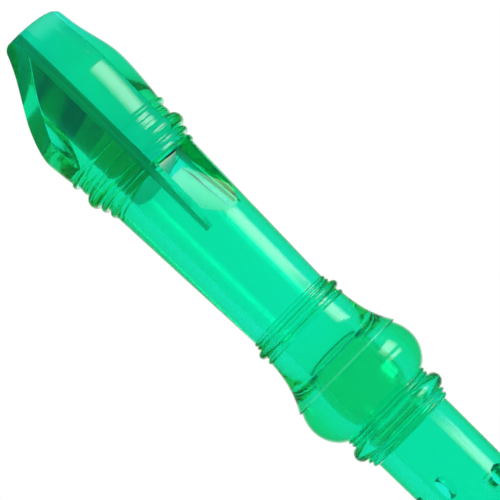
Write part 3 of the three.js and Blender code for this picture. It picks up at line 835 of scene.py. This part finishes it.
foot_rim_end = rings_length(FOOT_RIM_RINGS)
foot_bulge_depth = foot_rim_end + FOOT_BULGE_RISE_LENGTH
foot_bulge_end = foot_bulge_depth + FOOT_BULGE_FALL_LENGTH
foot_neck_end = foot_bulge_end + rings_length(FOOT_NECK_RINGS)
foot_tube_end = foot_neck_end + FOOT_TUBE_LENGTH
foot_collar_end = foot_tube_end + rings_length(FOOT_COLLAR_RINGS)
bell_end = foot_collar_end + BELL_LENGTH
bell_rings_end = bell_end + rings_length(BELL_RINGS)
foot_outline = [
    *ring_beads(FOOT_RIM_RINGS, 0),
    *bulge(
        (FOOT_BULGE_TOP_RADIUS, foot_rim_end),
        (FOOT_BULGE_RADIUS, foot_bulge_depth),
        (FOOT_BULGE_END_RADIUS, foot_bulge_end),
    ),
    *ring_beads(FOOT_NECK_RINGS, foot_bulge_end),
    (FOOT_TUBE_TOP_RADIUS, foot_neck_end),
    (FOOT_TUBE_END_RADIUS, foot_tube_end),
    *ring_beads(FOOT_COLLAR_RINGS, foot_tube_end),
    *flare((BELL_TOP_RADIUS, foot_collar_end), (BELL_RADIUS, bell_end)),
    *ring_beads(BELL_RINGS, bell_end),
    (BASE_RADIUS, bell_rings_end),
    (BASE_RADIUS, FOOT_RIM - BASE_CHAMFER),
    (BASE_RADIUS - BASE_CHAMFER, FOOT_RIM),
    (FOOT_BORE_RADIUS + FOOT_MOUTH_CHAMFER, FOOT_RIM),
    (FOOT_BORE_RADIUS, FOOT_RIM - FOOT_MOUTH_CHAMFER),
    (FOOT_BORE_RADIUS, FOOT_SOCKET_DEPTH),
    (FOOT_SOCKET_RADIUS, FOOT_SOCKET_DEPTH),
    (FOOT_SOCKET_RADIUS, SOCKET_CHAMFER),
    (FOOT_SOCKET_RADIUS + SOCKET_CHAMFER, 0),
]
foot_joint = turned_piece(
    "foot_joint_moulding",
    foot_outline,
    FOOT_RIM,
    CLEAR_GREEN,
    {
        "Hole Places": hole_places("foot hole places", twin_holes(FOOT_TWIN_DEPTH), FOOT_RIM),
        "Drill Length": FOOT_BULGE_RADIUS + CUT_OVERRUN,
    },
)
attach(foot_joint, "foot")
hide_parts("foot_joint")


# Camera
# It looks a little upwards at the head joint from the front, on the player's right, and is rolled so that the
# recorder lies across the picture from the upper left corner to the lower right one.

CAMERA_DISTANCE = 0.563055
CAMERA_BELOW_TIP = 0.112402
CAMERA_AZIMUTH = math.radians(-42.634)
CAMERA_ROLL = math.radians(44.381)
AIM_BELOW_TIP = 0.071668
AIM_SIDEWAYS = 0.003661
FOCAL_LENGTH_PIXELS = 2446.677
IMAGE_PIXELS = 500
SENSOR_WIDTH = 36.0
CLIP_START = 0.01
CLIP_END = 100

UP = Vector((0, 0, 1))
camera_side = Vector((math.sin(CAMERA_AZIMUTH), -math.cos(CAMERA_AZIMUTH), 0))
level_right = (-camera_side).cross(UP)
camera_place = Vector((0, 0, HEAD_TIP - CAMERA_BELOW_TIP)) + camera_side * CAMERA_DISTANCE
aim = Vector((0, 0, HEAD_TIP - AIM_BELOW_TIP)) + level_right * AIM_SIDEWAYS
backward = (camera_place - aim).normalized()
down_the_bore = (backward * UP.dot(backward) - UP).normalized()
across_the_bore = backward.cross(down_the_bore)
picture_right = down_the_bore * math.cos(CAMERA_ROLL) + across_the_bore * math.sin(CAMERA_ROLL)
picture_up = backward.cross(picture_right)
camera_turn = Matrix((picture_right, picture_up, backward)).transposed()

camera = bpy.data.objects.new("camera", bpy.data.cameras.new("camera"))
camera.data.sensor_width = SENSOR_WIDTH
camera.data.lens = FOCAL_LENGTH_PIXELS * SENSOR_WIDTH / IMAGE_PIXELS
camera.data.clip_start = CLIP_START
camera.data.clip_end = CLIP_END
camera.matrix_world = Matrix.Translation(camera_place) @ camera_turn.to_4x4()
bpy.context.scene.collection.objects.link(camera)
bpy.context.scene.camera = camera


# Floor
# A round sheet in pale matt paint, which the recorder stands on. It keeps the shadow near the foot and fades
# out towards its rim, and the polished plastic doesn't mirror it.

FLOOR_RADIUS = 0.4
FLOOR_FADE_START = 0.06
FLOOR_POINTS = 96
FLOOR_COLOUR = (0.92, 0.92, 0.92)
FLOOR_ROUGHNESS = 0.8

rim_angles = [2 * math.pi * i / FLOOR_POINTS for i in range(FLOOR_POINTS)]
floor = mesh_object(
    "floor",
    [(FLOOR_RADIUS * math.cos(angle), FLOOR_RADIUS * math.sin(angle), 0) for angle in rim_angles],
    faces=[tuple(range(FLOOR_POINTS))],
)
pale_paint = bpy.data.materials.new("pale_floor")
pale_paint.use_nodes = True
floor_node, floor_calculation = node_maker(pale_paint.node_tree)
spot = floor_node("ShaderNodeTexCoord").outputs["Object"]
reach = floor_node("ShaderNodeVectorMath", {0: spot}, operation="LENGTH").outputs["Value"]
fade = {"Value": reach, "From Min": FLOOR_FADE_START, "From Max": FLOOR_RADIUS, "To Min": 1.0, "To Max": 0.0}
faded = floor_node("ShaderNodeMapRange", fade, interpolation_type="SMOOTHSTEP").outputs["Result"]
mirrored = floor_node("ShaderNodeLightPath").outputs["Is Glossy Ray"]
shown = floor_calculation("MULTIPLY", faded, floor_calculation("SUBTRACT", 1.0, mirrored))
floor_surface = pale_paint.node_tree.nodes["Principled BSDF"].inputs
floor_surface["Base Color"].default_value = (*FLOOR_COLOUR, 1)
floor_surface["Roughness"].default_value = FLOOR_ROUGHNESS
pale_paint.node_tree.links.new(shown, floor_surface["Alpha"])
floor.data.materials.append(pale_paint)


# Background
# Plain white all round, for the camera, for what is seen through the plastic and for the light on matt faces.
# Polished faces mirror a dark room instead, with one white wall straight behind the recorder.

WALL_EDGE = 0.85
WALL_FULL = 0.98
ROOM_BRIGHTNESS = 0.05
BACKGROUND_COLOUR = (1, 1, 1)

world = bpy.data.worlds.new("white studio")
bpy.context.scene.world = world
world.use_nodes = True
room_node, room_calculation = node_maker(world.node_tree)
rays = room_node("ShaderNodeLightPath").outputs
direction = room_node("ShaderNodeTexCoord").outputs["Generated"]
behind = room_node("ShaderNodeVectorMath", {0: direction, 1: -camera_side}, operation="DOT_PRODUCT")
back_wall = {
    "Value": behind.outputs["Value"],
    "From Min": WALL_EDGE,
    "From Max": WALL_FULL,
    "To Min": ROOM_BRIGHTNESS,
}
room = room_node("ShaderNodeMapRange", back_wall).outputs["Result"]
brightness = room_calculation("MULTIPLY", rays["Is Glossy Ray"], room)
for white_to in ("Is Camera Ray", "Is Transmission Ray", "Is Diffuse Ray"):
    brightness = room_calculation("MAXIMUM", brightness, rays[white_to])
studio = world.node_tree.nodes["Background"].inputs
studio["Color"].default_value = (*BACKGROUND_COLOUR, 1)
world.node_tree.links.new(brightness, studio["Strength"])


# Lamps
# Two softboxes stand one above the other on the camera's right and make the long highlights. Each is four
# panels that widen one behind the other, so its edges fade. A small lamp higher up lights the window's ramp.

SOFTBOX_ANGLE = math.radians(75)
SOFTBOX_DISTANCE = 0.6
PANEL_SPACING = 0.002
PANEL_WIDTHS = (0.18, 0.26, 0.34, 0.42)
PANEL_GROWTH = 0.1
UPPER_HEIGHT = 0.342
UPPER_TALL = 0.19
UPPER_RADIANCE = 1.45
LOWER_HEIGHT = 0.11
LOWER_TALL = 0.06
LOWER_RADIANCE = 1.3
WINDOW_LAMP_ANGLE = math.radians(92.35)
WINDOW_LAMP_RISE = math.radians(27.5)
WINDOW_LAMP_DISTANCE = 0.7
WINDOW_LAMP_HEIGHT = 0.265
WINDOW_LAMP_WIDTH = 0.014
WINDOW_LAMP_TALL = 0.045
WINDOW_LAMP_RADIANCE = 3.8


def flat_lamp(name, angle, rise, distance, height, width, tall, radiance):
    """A flat lamp that faces a height on the recorder's axis, turned to the right from the camera's side."""
    light = bpy.data.lights.new(name, "AREA")
    light.shape = "RECTANGLE"
    light.size = width
    light.size_y = tall
    light.energy = radiance * math.pi * width * tall
    level_way = camera_side * math.cos(angle) + level_right * math.sin(angle)
    way = level_way * math.cos(rise) + UP * math.sin(rise)
    sideways = UP.cross(level_way)
    lamp_turn = Matrix((sideways, way.cross(sideways), way)).transposed()
    lamp = bpy.data.objects.new(name, light)
    lamp.matrix_world = Matrix.Translation(way * distance + UP * height) @ lamp_turn.to_4x4()
    bpy.context.scene.collection.objects.link(lamp)
    return lamp


for panel, width in enumerate(PANEL_WIDTHS):
    distance = SOFTBOX_DISTANCE + PANEL_SPACING * panel
    growth = PANEL_GROWTH * width
    upper_tall = UPPER_TALL + growth
    lower_tall = LOWER_TALL + growth
    flat_lamp(
        "upper softbox", SOFTBOX_ANGLE, 0, distance, UPPER_HEIGHT, width, upper_tall, UPPER_RADIANCE
    )
    lower_panel = flat_lamp(
        "lower softbox", SOFTBOX_ANGLE, 0, distance, LOWER_HEIGHT, width, lower_tall, LOWER_RADIANCE
    )
    lower_panel.visible_transmission = False
window_lamp = flat_lamp(
    "window lamp",
    WINDOW_LAMP_ANGLE,
    WINDOW_LAMP_RISE,
    WINDOW_LAMP_DISTANCE,
    WINDOW_LAMP_HEIGHT,
    WINDOW_LAMP_WIDTH,
    WINDOW_LAMP_TALL,
    WINDOW_LAMP_RADIANCE,
)
window_lamp.visible_transmission = False


# Picture
# Colours are shown as they are, and a ray of light may cross the many clear walls of the recorder before it
# is given up.

THROUGH_BOUNCES = 24
SURFACE_BOUNCES = 12

bpy.context.scene.view_settings.view_transform = "Standard"
bpy.context.scene.cycles.max_bounces = THROUGH_BOUNCES
bpy.context.scene.cycles.transmission_bounces = THROUGH_BOUNCES
bpy.context.scene.cycles.diffuse_bounces = SURFACE_BOUNCES
bpy.context.scene.cycles.glossy_bounces = SURFACE_BOUNCES
